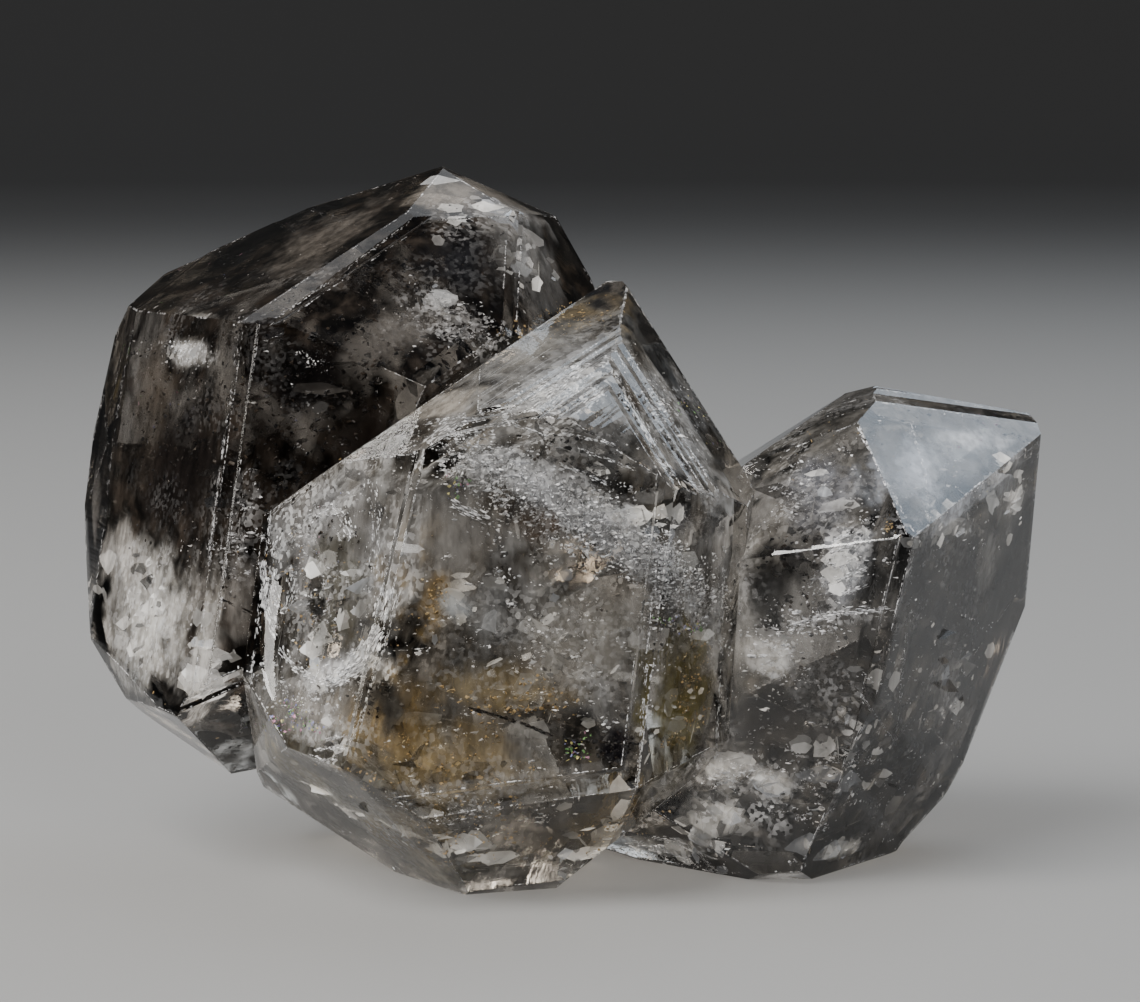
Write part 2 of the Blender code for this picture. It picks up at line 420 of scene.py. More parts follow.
def clearQuartz():
    material, tree, shader = newMaterial("clearQuartz")
    clear, cloud = addAttribute(tree, "clearTintAndPaintedLight"), addAttribute(tree, "cloudTintAndPaintedLight")
    fine = addCloud(tree, 1100, 0.35, 0.65, (1, 1, 0.5))
    tint = addMix(tree, fine, cloud.outputs["Color"], clear.outputs["Color"])
    tree.links.new(tint, shader.inputs["Base Color"])
    shader.inputs["Roughness"].default_value = shellLook["roughness"]
    shader.inputs["IOR"].default_value = shellLook["ior"]
    shader.inputs["Transmission Weight"].default_value = 1.0
    lines = tree.nodes.new("ShaderNodeTexNoise")
    lines.inputs["Scale"].default_value = shellLook["growthLines"]
    lines.inputs["Detail"].default_value = 1
    tree.links.new(addAttribute(tree, "growth").outputs["Vector"], lines.inputs["Vector"])
    bump = tree.nodes.new("ShaderNodeBump")
    bump.inputs["Strength"].default_value = 0.35
    bump.inputs["Distance"].default_value = shellLook["lineHeight"] * mm
    tree.links.new(lines.outputs["Fac"], bump.inputs["Height"])
    tree.links.new(bump.outputs[0], shader.inputs["Normal"])
    lamp = tree.nodes.new("ShaderNodeBsdfTransparent")
    lamp.inputs["Color"].default_value = (0.80, 0.80, 0.80, 1)
    path = tree.nodes.new("ShaderNodeLightPath")
    mix = tree.nodes.new("ShaderNodeMixShader")
    out = tree.nodes["Material Output"]
    tree.links.new(path.outputs["Is Shadow Ray"], mix.inputs[0])
    tree.links.new(shader.outputs[0], mix.inputs[1])
    tree.links.new(lamp.outputs[0], mix.inputs[2])
    tree.links.new(mix.outputs[0], out.inputs["Surface"])
    absorb = tree.nodes.new("ShaderNodeVolumeAbsorption")
    absorb.inputs["Color"].default_value = (*shellLook["absorbColour"], 1)
    absorb.inputs["Density"].default_value = shellLook["absorbDensity"]
    tree.links.new(absorb.outputs[0], out.inputs["Volume"])
    return material


shell = linkObject("crystalFaces", makeShell(), clearQuartz(), smooth=True)
shell.data.set_sharp_from_angle(angle=math.radians(9))
paintShell(shell)
print("  triangles", len(shell.data.polygons))
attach(shell, "root")
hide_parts("crystal_cluster")

print("clouds inside")

hazeLook = {
    "depths": {"left": (1.1, 3.2), "centre": (0.8, 3.4), "right": (1.2, 4.2)},
    "sheets": ((0.12, 0.70), (1.25, 1.1)),      # cover of the haze and of its spots, outer then inner
    "longestEdge": 0.72,
    "ripple": 0.35,          # mm
    "ragged": 0.75,          # how far a patch's rim wanders
    # painted light and shade: how much lighter or darker each face of the sheets is
    "paintedFacetShade": 0.35,
    "colours": {             # the darker parts, and pale wisps
        "left": ((0.006, 0.005, 0.004), (0.07, 0.057, 0.047)),
        "centre": ((0.10, 0.094, 0.085), (0.42, 0.425, 0.435)),
        "right": ((0.010, 0.010, 0.009), (0.18, 0.175, 0.165)),
    },
    "patch": {"left": 190, "centre": 230, "right": 210},        # patches to the metre
    "cover": {"left": (-0.30, 0.25), "centre": (-0.45, 0.45), "right": (-0.25, 0.35)},
    "strength": {"left": 0.85, "centre": 0.64, "right": 0.80},
    "least": 0.12,           # thinner haze than this is left out
    "fleckScale": 3400,
    "freeSparkle": {"left": 0.12, "centre": 0.35, "right": 0.40},
    "veils": (               # x, y, half width, half height, turn, strength
        (500, 470, 70, 22, 24, 0.9), (585, 515, 85, 26, 30, 1.0), (660, 565, 70, 26, 38, 0.9),
        (705, 610, 30, 30, 40, 0.7), (670, 415, 22, 60, -38, 0.65), (565, 385, 60, 14, -30, 0.65),
        (300, 500, 45, 26, -25, 0.8), (282, 570, 12, 50, 5, 0.9), (380, 560, 14, 80, 8, 0.3),
        (345, 668, 46, 12, -18, 1.0), (325, 735, 30, 30, 10, 0.6), (188, 352, 24, 9, 12, 1.0),
        (455, 320, 44, 22, 20, 0.8), (240, 520, 18, 60, 4, 0.4), (480, 800, 110, 40, 5, 0.35),
        (560, 640, 120, 60, 10, 0.35), (850, 565, 16, 44, 30, 0.9), (815, 500, 40, 40, 0, 0.25),
        (830, 620, 60, 10, -6, 0.8), (775, 655, 30, 20, 10, 0.6), (745, 790, 50, 30, 0, 0.6),
        (960, 600, 34, 60, 5, 0.15), (940, 740, 40, 60, 10, 0.2), (520, 250, 30, 60, -12, 0.35),
        (145, 620, 44, 70, 8, 0.5), (715, 350, 30, 60, -38, 0.4), (360, 812, 80, 10, 31, 0.6),
    ),
    "spots": (               # x, y, half width, half height, turn, cover, colour; the near-white spots on the lower right crystal, the pale blue ones on its upper right face, the pale ones at the bottom left of the left crystal and those at 455, 602 and 770, 655 are painted reflections and glints, the rest the colours of the clouds
        (140, 620, 46, 78, 8, 0.85, (0.66, 0.65, 0.62)), (205, 655, 24, 42, 5, 0.70, (0.60, 0.585, 0.56)),
        (110, 560, 18, 34, 10, 0.75, (0.72, 0.70, 0.67)), (235, 600, 18, 40, 0, 0.45, (0.42, 0.40, 0.38)),
        (185, 352, 26, 12, 12, 0.45, (0.55, 0.54, 0.52)),
        (535, 250, 24, 58, -10, 0.5, (0.46, 0.45, 0.44)),
        (455, 190, 42, 14, -14, 0.5, (0.42, 0.38, 0.33)),
        (325, 235, 60, 18, -32, 0.35, (0.30, 0.27, 0.24)),
        (460, 262, 38, 34, 0, 0.90, (0.012, 0.012, 0.014)),
        (300, 380, 60, 40, -25, 0.85, (0.008, 0.007, 0.007)),
        (370, 440, 40, 35, 0, 0.80, (0.020, 0.015, 0.012)),
        (250, 330, 40, 22, -30, 0.7, (0.015, 0.012, 0.011)),
        (175, 470, 40, 70, 5, 0.75, (0.014, 0.011, 0.010)),
        (150, 395, 18, 50, 8, 0.4, (0.12, 0.10, 0.08)), (400, 330, 50, 20, -30, 0.5, (0.17, 0.16, 0.15)),
        (90, 520, 8, 60, 5, 0.5, (0.26, 0.25, 0.24)), (190, 735, 34, 16, 30, 0.5, (0.17, 0.165, 0.16)),
        (560, 315, 60, 14, -12, 0.55, (0.27, 0.22, 0.14)),
        (520, 345, 60, 20, -20, 0.45, (0.30, 0.29, 0.27)),
        (705, 405, 70, 12, 55, 0.5, (0.38, 0.36, 0.26)),
        (438, 404, 36, 12, -22, 0.85, (0.42, 0.39, 0.35)), (470, 432, 42, 14, 0, 0.6, (0.06, 0.06, 0.06)),
        (600, 440, 70, 22, 18, 0.6, (0.09, 0.09, 0.09)), (520, 480, 60, 20, 25, 0.5, (0.50, 0.51, 0.53)),
        (610, 530, 80, 26, 32, 0.5, (0.42, 0.43, 0.45)), (440, 540, 50, 50, 0, 0.6, (0.30, 0.29, 0.28)),
        (540, 520, 24, 14, 15, 0.5, (0.17, 0.13, 0.10)), (330, 560, 45, 90, 10, 0.45, (0.36, 0.36, 0.37)),
        (335, 588, 30, 64, 8, 0.95, (0.10, 0.095, 0.08)),
        (340, 668, 40, 10, -15, 0.8, (0.70, 0.71, 0.74)),
        (300, 720, 40, 30, 10, 0.45, (0.45, 0.43, 0.41)), (440, 765, 85, 40, 8, 0.75, (0.39, 0.31, 0.18)),
        (400, 830, 80, 20, 14, 0.7, (0.38, 0.31, 0.18)), (310, 815, 60, 12, 30, 0.6, (0.36, 0.32, 0.20)),
        (480, 866, 60, 14, 0, 0.65, (0.46, 0.43, 0.34)), (520, 790, 70, 26, -4, 0.5, (0.27, 0.22, 0.14)),
        (350, 770, 18, 40, 12, 0.6, (0.42, 0.30, 0.13)), (505, 690, 60, 18, 5, 0.6, (0.36, 0.29, 0.17)),
        (435, 598, 16, 24, 20, 0.6, (0.36, 0.27, 0.15)), (455, 602, 16, 10, 20, 0.7, (0.62, 0.68, 0.76)),
        (600, 640, 60, 40, 10, 0.5, (0.31, 0.30, 0.28)), (560, 850, 60, 16, -5, 0.5, (0.30, 0.25, 0.16)),
        (625, 825, 44, 16, -35, 0.6, (0.38, 0.29, 0.13)), (685, 715, 24, 80, 5, 0.8, (0.30, 0.26, 0.09)),
        (380, 690, 20, 24, 0, 0.7, (0.07, 0.065, 0.06)), (740, 620, 12, 80, 4, 0.4, (0.45, 0.45, 0.44)),
        (618, 746, 18, 20, 0, 0.85, (0.012, 0.010, 0.014)),
        (392, 712, 12, 26, 0, 0.7, (0.03, 0.03, 0.03)), (770, 655, 30, 16, 10, 0.8, (0.68, 0.67, 0.64)),
        (727, 772, 24, 12, -15, 1.3, (0.95, 0.94, 0.91)), (768, 780, 20, 9, 10, 1.3, (0.95, 0.94, 0.91)),
        (716, 818, 26, 13, 0, 1.3, (0.93, 0.92, 0.89)), (645, 853, 46, 12, -6, 1.3, (0.95, 0.95, 0.93)),
        (704, 868, 28, 12, 30, 1.1, (0.85, 0.85, 0.84)), (838, 850, 24, 10, -20, 1.3, (0.93, 0.92, 0.89)),
        (950, 527, 26, 9, -10, 0.85, (0.76, 0.76, 0.75)), (1012, 495, 16, 36, 5, 0.6, (0.60, 0.59, 0.57)),
        (925, 545, 12, 22, 0, 0.85, (0.010, 0.010, 0.011)),
        (775, 585, 36, 28, 0, 0.85, (0.014, 0.013, 0.012)),
        (1000, 590, 10, 30, 10, 0.85, (0.008, 0.008, 0.010)),
        (800, 862, 30, 8, -5, 0.5, (0.36, 0.34, 0.32)), (885, 800, 26, 30, 0, 0.7, (0.02, 0.02, 0.02)),
        (820, 485, 34, 32, 0, 0.5, (0.17, 0.18, 0.21)), (850, 568, 18, 38, 25, 0.6, (0.38, 0.40, 0.44)),
        (960, 640, 30, 60, 5, 0.75, (0.030, 0.028, 0.026)),
        (960, 740, 26, 40, 10, 0.6, (0.12, 0.11, 0.10)), (860, 690, 40, 30, 0, 0.6, (0.05, 0.045, 0.04)),
        (800, 730, 60, 24, 0, 0.6, (0.06, 0.055, 0.05)), (950, 455, 70, 34, -10, 0.4, (0.36, 0.39, 0.44)),
        (985, 440, 36, 12, 8, 0.9, (0.75, 0.78, 0.84)), (920, 470, 16, 40, -18, 0.8, (0.50, 0.54, 0.62)),
        (300, 775, 40, 9, 32, 1.3, (0.42, 0.36, 0.22)), (362, 812, 60, 7, 30, 1.3, (0.72, 0.70, 0.62)),
        (400, 842, 50, 9, 30, 1.3, (0.42, 0.32, 0.15)), (340, 814, 30, 6, 35, 1.3, (0.04, 0.036, 0.03)),
        (430, 872, 30, 8, 30, 1.2, (0.55, 0.50, 0.38)), (285, 782, 22, 5, 35, 1.3, (0.03, 0.028, 0.024)),
        (920, 575, 12, 34, 0, 1.2, (0.006, 0.006, 0.007)),
        (972, 600, 12, 60, 8, 1.2, (0.010, 0.010, 0.012)),
        (946, 690, 14, 40, 10, 1.0, (0.40, 0.39, 0.38)),
        (915, 760, 12, 50, 12, 1.0, (0.020, 0.019, 0.018)), (990, 560, 8, 30, 8, 1.1, (0.62, 0.61, 0.59)),
        (900, 820, 20, 12, -30, 1.0, (0.40, 0.38, 0.36)),
        (690, 800, 12, 14, 0, 1.2, (0.010, 0.010, 0.010)),
        (755, 808, 16, 8, -10, 1.2, (0.012, 0.012, 0.012)),
        (790, 830, 24, 8, 10, 1.1, (0.015, 0.014, 0.013)),
    ),
}


def addFlecks(tree, scale):               # small bright cells of a healed crack
    place = tree.nodes.new("ShaderNodeTexCoord")
    cells = tree.nodes.new("ShaderNodeTexVoronoi")
    cells.inputs["Scale"].default_value = scale
    range_ = tree.nodes.new("ShaderNodeMapRange")
    range_.inputs["From Min"].default_value = 0.50
    range_.inputs["From Max"].default_value = 0.78
    tree.links.new(place.outputs["Object"], cells.inputs["Vector"])
    tree.links.new(cells.outputs["Color"], range_.inputs["Value"])
    return range_.outputs["Result"]


def hazeMaterial(name):
    material, tree, shader = newMaterial(name + "Haze")
    wisps = addCloud(tree, 900, 0.34, 0.66, (1.6, 1, 0.5))
    tone = addAttribute(tree, "tone")
    shade = addMix(tree, wisps, (0.45, 0.44, 0.43, 1), (1, 1, 1, 1))
    body = addMix(tree, 1.0, tone.outputs["Color"], shade, "MULTIPLY")
    sparkle = addAttribute(tree, "sparkle").outputs["Fac"]
    flecks = addMath(tree, "MULTIPLY", addFlecks(tree, hazeLook["fleckScale"]), sparkle)
    tree.links.new(addMix(tree, flecks, body, (0.93, 0.94, 0.97, 1)), shader.inputs["Base Color"])
    shader.inputs["Roughness"].default_value = 0.55
    shader.inputs["Specular IOR Level"].default_value = 0.0
    tree.links.new(addAttribute(tree, "cover").outputs["Fac"], shader.inputs["Alpha"])
    return material


def spotsSeen(name, depth, entries):      # only those that lie on this crystal
    spots = []
    for x, y, across, high, turn, share, *colour in entries:
        patch = patchSeen(x, y, depth, across, high, turn)
        if patch and crystalAt(patch[0]) == name:
            spots.append((*patch, share, Vector(*colour) if colour else None))
    return spots


def nearness(point, spot, rim):           # 1 in the middle of a spot, 0 outside it
    middle, spread, reach = spot[:3]
    away = point - middle
    if away.length > reach:
        return 0
    return 1 - smoothStep(0.55, 1.35, (spread @ away).length + rim)


def hazeAt(name, point, normal, depth, spots, veils, sheet):
    patch = hazeLook["patch"][name]
    # painted light and shade: each face of the sheet a little lighter or darker
    face = 1 + hazeLook["paintedFacetShade"] * paintedFacetShade(normal)
    stretched = Vector((point.x, point.y, point.z * 0.7)) * patch + Vector((depth, 3, 8))
    value = noise.fractal(stretched, 0.7, 2.1, 5) + 0.25 * noise.noise(point * 90)
    low, high = hazeLook["cover"][name]
    cover = hazeLook["strength"][name] * sheet[0] * smoothStep(low, high, value)
    dark, pale = (Vector(c) for c in hazeLook["colours"][name])
    tone = dark.lerp(pale, smoothStep(-0.35, 0.45, noise.fractal(point * 420, 0.8, 2.0, 4))) * face
    rim = hazeLook["ragged"] * noise.fractal(point * 330, 0.6, 2.1, 4)
    # spot colours: the clouds' own colours, and painted reflections and glints
    for spot in spots:
        here = nearness(point, spot, rim)
        if here:
            cover = blend(cover, min(spot[3] * sheet[1], 0.97), here)
            tone = tone.lerp(spot[4] * (1 + 0.5 * rim), here)
    drift = noise.noise(point * 170 + Vector((9, 2, depth)))
    sparkle = hazeLook["freeSparkle"][name] * smoothStep(0.12, 0.45, drift)
    for veil in veils:
        sparkle = max(sparkle, veil[3] * nearness(point, veil, rim))
    return blend(cover, max(cover, 0.75 * sheet[1]), sparkle), tone, sparkle


def makeHaze(name):
    gathered = bmesh.new()
    for depth, sheet in zip(hazeLook["depths"][name], hazeLook["sheets"]):
        spots = spotsSeen(name, depth, hazeLook["spots"])
        veils = spotsSeen(name, depth, hazeLook["veils"])
        mesh = grownInside(name, depth)
        coverLayer = mesh.verts.layers.float_color.new("cover")
        toneLayer = mesh.verts.layers.float_color.new("tone")
        sparkleLayer = mesh.verts.layers.float_color.new("sparkle")
        refine(mesh, hazeLook["longestEdge"])
        for vertex in mesh.verts:
            normal = vertex.link_faces[0].normal
            cover, tone, sparkle = hazeAt(name, vertex.co, normal, depth, spots, veils, sheet)
            vertex.co += noise.noise_vector(vertex.co * 300) * hazeLook["ripple"] * mm
            held = inside(vertex.co, 0.25)
            vertex[coverLayer] = (cover, cover, cover, 1) if held else (0, 0, 0, 0)
            vertex[toneLayer] = (*tone, 1)
            vertex[sparkleLayer] = (sparkle, sparkle, sparkle, 1)
        empty = [f for f in mesh.faces
                 if max(v[coverLayer][0] for v in f.verts) < hazeLook["least"]
                 or min(v[coverLayer][3] for v in f.verts) < 1]
        bmesh.ops.delete(mesh, geom=empty, context="FACES")
        part = bpy.data.meshes.new("part")
        mesh.to_mesh(part)
        mesh.free()
        gathered.from_mesh(part)
        bpy.data.meshes.remove(part)
    item = linkObject(name + "Clouds", gathered, hazeMaterial(name), smooth=True)
    item.visible_shadow = False
    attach(item, "root")
    print("  ", name, len(item.data.polygons))


for name in crystalNames:
    makeHaze(name)

print("flakes, bubbles and specks")

flakeLook = {
    "pale": {
        "seed": 11, "size": (0.022, 0.13), "long": 3.2, "thick": 0.14, "roughness": 0.30, "metallic": 0.0,
        "sides": (3, 3, 4, 4),
        "shades": ((0.95, 0.96, 1.0), (0.60, 0.62, 0.65), (0.34, 0.34, 0.34)),
        "clump": 9,              # flakes in one streak
        "seats": (               # x, y, half width, half height, turn, depths in mm, how many
            (500, 470, 75, 26, 24, 0.5, 2.5, 1900), (580, 515, 80, 30, 30, 0.5, 2.5, 2900),
            (655, 560, 70, 30, 35, 0.5, 2.5, 2100), (700, 605, 35, 30, 40, 0.5, 3.0, 525),
            (520, 520, 60, 30, 30, 1.5, 6.0, 400), (560, 620, 150, 120, 10, 1.0, 9.0, 1500),
            (450, 800, 120, 60, 5, 0.8, 6.0, 500), (330, 560, 50, 105, 10, 0.6, 2.5, 320),
            (300, 690, 50, 25, 10, 0.5, 2.5, 375), (665, 415, 20, 60, -38, 0.5, 2.5, 650),
            (560, 385, 70, 16, -22, 0.4, 2.0, 425), (188, 352, 24, 10, 15, 0.6, 2.0, 200),
            (455, 320, 50, 28, 20, 0.8, 3.5, 500), (310, 360, 14, 8, 10, 0.6, 2.0, 60),
            (240, 540, 20, 60, 6, 0.6, 2.5, 260), (845, 565, 16, 45, 32, 0.8, 2.5, 390),
            (810, 500, 50, 40, 0, 1.0, 5.0, 390), (800, 620, 60, 18, 8, 0.8, 3.0, 240),
            (770, 655, 30, 22, 10, 0.8, 3.0, 390), (830, 780, 90, 60, 0, 1.0, 7.0, 570),
            # the seats at 645, 855, 700, 870 and 730, 775 are white flakes that stand for reflections low on
            # the right crystal: painted reflection
            (950, 640, 40, 110, 10, 1.0, 6.0, 420), (645, 855, 46, 9, -6, 0.35, 1.3, 500),
            (700, 870, 26, 8, 20, 0.35, 1.3, 260), (730, 775, 22, 10, -15, 0.6, 1.6, 260),
        ),
        "free": {"left": 700, "centre": 1300, "right": 900},
    },
    "thread": {                  # cracks and growth lines, and pale flakes along the edges that are painted edge glints
        "seed": 17, "size": (0.022, 0.13), "long": 3.2, "thick": 0.14, "roughness": 0.30, "metallic": 0.0,
        "sides": (3, 3, 4, 4),
        "shades": ((0.95, 0.96, 1.0), (0.60, 0.62, 0.65), (0.34, 0.34, 0.34)),
        "lines": (               # depth in mm, spread, flakes to the pixel, size in mm, then the places
            (0.35, 2.5, 2.2, 0.10, ((262, 555), (265, 605), (279, 648), (300, 674), (332, 684), (362, 672))),
            (0.35, 5.0, 3.6, 0.12, ((325, 682), (355, 668), (372, 645), (384, 612), (388, 590))),
            (0.35, 2.5, 1.8, 0.08, ((284, 520), (271, 550), (270, 590), (283, 617), (292, 596), (292, 560))),
            (0.35, 3.5, 1.6, 0.08, ((290, 540), (312, 514), (338, 506), (352, 538))),
            (0.35, 4.0, 1.2, 0.07, ((374, 480), (378, 530), (372, 590))),
            (0.15, 1.0, 1.4, 0.06, ((270, 512), (262, 590), (252, 670), (240, 735))),
            (0.15, 1.0, 1.2, 0.06, ((400, 592), (384, 650), (352, 742))),
            (0.25, 1.2, 1.8, 0.07, ((318, 740), (345, 736))),
            (0.25, 1.2, 1.8, 0.07, ((314, 750), (342, 748))),
            (0.25, 1.2, 1.8, 0.07, ((316, 762), (338, 758))),
            (0.15, 0.7, 1.8, 0.06, ((224, 440), (216, 500), (208, 565))),
            (0.15, 0.7, 1.0, 0.05, ((134, 322), (115, 420), (100, 560), (90, 618))),
            (0.15, 0.8, 0.7, 0.05, ((240, 328), (222, 455))),
            (0.15, 0.8, 0.7, 0.05, ((275, 318), (350, 268), (412, 220))),
            (0.30, 4.5, 4.0, 0.12, ((536, 406), (582, 367))),
            (0.30, 2.5, 2.8, 0.10, ((548, 410), (594, 374))),
            (0.30, 3.0, 3.6, 0.12, ((586, 406), (620, 376))),
            (0.25, 1.5, 2.4, 0.09, ((622, 387), (654, 446))),
            (0.25, 2.0, 2.0, 0.09, ((654, 458), (690, 484), (718, 500))),
            (0.25, 1.5, 1.5, 0.07, ((424, 424), (480, 412), (530, 407), (562, 415))),
            (0.40, 1.0, 1.4, 0.06, ((540, 428), (622, 446))),
            (0.40, 1.0, 1.4, 0.06, ((552, 460), (608, 484))),
            (0.40, 1.0, 1.0, 0.06, ((556, 440), (636, 470))),
            (0.40, 1.0, 1.0, 0.06, ((500, 420), (560, 440))),
            (0.60, 3.0, 2.6, 0.10, ((452, 503), (478, 516), (502, 522))),
            (0.60, 3.0, 2.6, 0.10, ((560, 514), (580, 540), (588, 556))),
            (0.20, 1.2, 1.3, 0.06, ((652, 592), (645, 690), (637, 782))),
            (0.20, 1.0, 1.2, 0.06, ((724, 545), (722, 640), (716, 760))),
            (0.30, 1.2, 2.2, 0.08, ((834, 540), (858, 530))),
            (0.30, 1.2, 2.2, 0.08, ((830, 553), (860, 542))),
            (0.30, 1.2, 2.2, 0.08, ((832, 566), (864, 555))),
            (0.30, 1.2, 2.2, 0.08, ((836, 580), (866, 570))),
            (0.30, 1.2, 2.2, 0.08, ((842, 594), (866, 585))),
            (0.30, 2.0, 2.2, 0.09, ((790, 626), (840, 612), (888, 610))),
            (0.12, 0.8, 1.6, 0.06, ((858, 428), (885, 480), (914, 532))),
            (0.12, 0.8, 1.4, 0.06, ((917, 534), (980, 486), (1040, 442))),
            (0.12, 0.8, 0.8, 0.05, ((914, 540), (906, 640), (896, 742))),
            (0.12, 0.9, 1.4, 0.06, ((860, 694), (895, 742))),
            (0.12, 1.2, 1.3, 0.05, ((911, 421), (918, 452), (925, 470), (929, 519))),
            (0.12, 1.2, 2.0, 0.08, ((608, 850), (664, 836), (698, 850), (722, 882))),
        ),
        "edges": 0.55,           # share of every edge that gets pale flakes, painted glints
    },
    "dark": {
        "seed": 23, "size": (0.03, 0.20), "long": 2.0, "thick": 0.3, "roughness": 0.35, "metallic": 0.0,
        "sides": (3, 3, 4, 4),
        "shades": ((0.004, 0.004, 0.005), (0.02, 0.014, 0.010), (0.045, 0.032, 0.022)),
        "clump": 4,
        "seats": (
            (180, 450, 60, 110, 5, 0.5, 3.0, 700), (330, 380, 90, 70, 0, 0.5, 3.5, 600),
            (280, 470, 60, 90, 0, 0.5, 3.0, 400), (400, 270, 90, 40, -25, 0.5, 3.0, 400),
            (580, 460, 80, 26, 24, 0.6, 3.5, 160), (560, 640, 150, 120, 0, 0.8, 8.0, 110),
            (615, 745, 20, 18, 0, 0.8, 2.5, 120), (340, 590, 50, 100, 10, 0.6, 3.0, 120),
            (800, 570, 60, 60, 0, 1.0, 5.0, 160), (860, 720, 70, 90, 0, 1.0, 6.0, 260),
            (380, 700, 14, 22, 0, 0.6, 2.0, 60), (960, 660, 30, 100, 5, 0.8, 4.0, 200),
        ),
        "lines": (
            (0.35, 0.8, 2.6, 0.09, ((470, 708), (520, 722), (556, 738), (600, 742), (640, 744))),
            (0.30, 1.0, 2.0, 0.08, ((640, 398), (664, 440), (690, 470))),
            (0.35, 0.8, 1.4, 0.06, ((552, 456), (606, 480))),
            (0.35, 1.0, 1.2, 0.06, ((540, 422), (620, 440))),
            (0.30, 0.8, 2.0, 0.08, ((222, 600), (252, 612))),
            (0.30, 1.0, 1.2, 0.07, ((272, 640), (268, 690))),
        ),
        "free": {"left": 1500, "centre": 240, "right": 450},
    },
    "ochre": {
        "seed": 37, "size": (0.025, 0.15), "long": 2.0, "thick": 0.2, "roughness": 0.6, "metallic": 0.0,
        "sides": (3, 4, 5),
        "shades": ((0.40, 0.28, 0.13), (0.30, 0.20, 0.09), (0.50, 0.42, 0.26)),
        "clump": 5,
        "seats": (
            (440, 770, 100, 45, 10, 0.6, 3.5, 420), (500, 700, 80, 30, 5, 0.6, 3.0, 200),
            (560, 318, 60, 16, -10, 0.5, 2.5, 180), (690, 700, 20, 70, 5, 0.5, 3.0, 300),
            (460, 840, 80, 24, 0, 0.6, 3.0, 220), (620, 830, 40, 20, -30, 0.6, 3.0, 140),
            (435, 600, 16, 22, 20, 0.6, 2.0, 90), (890, 525, 6, 5, 0, 0.5, 1.5, 25),
        ),
        "free": {"left": 40, "centre": 500, "right": 60},
    },
    "shard": {                   # bright faces of larger cracks
        "seed": 71, "size": (0.18, 1.0), "long": 3.0, "thick": 0.012, "roughness": 0.3, "metallic": 0.0,
        "sides": (4, 5, 6, 7), "alpha": 0.34,
        "shades": ((0.92, 0.92, 0.91), (0.50, 0.50, 0.51), (0.70, 0.69, 0.66), (0.55, 0.60, 0.68)),
        "clump": 1,
        "seats": (
            (730, 772, 26, 14, -15, 1.0, 3.5, 34), (718, 818, 30, 16, 0, 1.0, 3.5, 30),
            (690, 855, 60, 12, 0, 0.8, 2.5, 30), (768, 780, 22, 10, 10, 1.0, 3.0, 16),
            (838, 850, 22, 9, -20, 1.0, 3.0, 16), (775, 655, 34, 18, 10, 1.2, 4.0, 24),
            (948, 530, 30, 10, -10, 0.9, 2.5, 22), (1010, 500, 14, 40, 5, 0.9, 3.0, 22),
            (850, 740, 70, 70, 0, 1.5, 6.0, 50), (945, 680, 30, 80, 10, 1.0, 5.0, 36),
            (850, 565, 14, 40, 30, 0.7, 2.5, 20), (820, 490, 40, 30, 0, 1.2, 5.0, 16),
            (140, 620, 40, 66, 8, 1.2, 4.0, 70), (205, 655, 22, 40, 5, 1.2, 4.0, 24),
            (188, 354, 22, 9, 12, 0.8, 2.5, 14), (480, 210, 50, 26, -10, 1.5, 5.0, 22),
            (530, 260, 22, 50, -12, 1.5, 4.0, 22), (455, 315, 40, 20, 20, 1.2, 4.0, 20),
            (345, 668, 46, 9, -18, 0.6, 2.0, 30), (335, 590, 42, 90, 8, 0.8, 3.0, 30),
            (330, 735, 24, 24, 0, 0.8, 3.0, 16), (560, 640, 150, 110, 10, 2.0, 8.0, 90),
            (456, 602, 12, 7, 20, 0.8, 1.5, 7), (440, 850, 90, 22, 8, 1.0, 4.0, 44),
            (600, 835, 50, 18, -30, 1.0, 4.0, 24), (355, 808, 80, 10, 31, 0.7, 3.0, 44),
            (600, 500, 90, 30, 30, 1.5, 5.0, 40), (560, 385, 60, 16, -28, 0.6, 2.5, 20),
            (690, 700, 16, 90, 5, 0.8, 3.5, 22),
        ),
    },
    "shadow": {                  # dark faces of larger cracks
        "seed": 73, "size": (0.15, 0.9), "long": 3.0, "thick": 0.012, "roughness": 0.3, "metallic": 0.0,
        "sides": (4, 5, 6, 7), "alpha": 0.45,
        "shades": ((0.006, 0.006, 0.007), (0.03, 0.026, 0.022), (0.06, 0.055, 0.05)),
        "clump": 1,
        "seats": (
            (740, 800, 70, 40, 0, 1.0, 4.0, 50), (850, 740, 70, 80, 0, 1.0, 5.0, 60),
            (950, 640, 36, 110, 8, 0.8, 4.0, 70), (800, 560, 50, 70, 0, 1.0, 4.0, 30),
            (690, 860, 60, 14, 0, 0.8, 2.5, 18), (330, 590, 26, 60, 8, 0.8, 3.0, 26),
            (560, 650, 150, 110, 10, 1.5, 7.0, 50), (430, 770, 80, 40, 10, 0.8, 4.0, 44),
            (460, 850, 100, 20, 5, 0.8, 3.0, 36), (355, 808, 80, 10, 31, 0.7, 2.5, 36),
            (600, 470, 90, 30, 25, 0.8, 3.0, 30), (140, 620, 40, 66, 8, 0.8, 3.0, 30),
            (300, 400, 120, 110, 0, 1.0, 5.0, 60), (690, 740, 20, 60, 5, 0.8, 3.0, 14),
        ),
    },
    "film": {                    # thin cracks that show the colours of the rainbow
        "seed": 51, "size": (0.05, 0.16), "long": 1.8, "thick": 0.1, "roughness": 0.2, "metallic": 0.5,
        "sides": (3, 3, 4, 4),
        "shades": ((0.75, 0.38, 0.55), (0.35, 0.68, 0.28), (0.40, 0.42, 0.80), (0.80, 0.72, 0.30)),
        "clump": 6,
        "seats": (
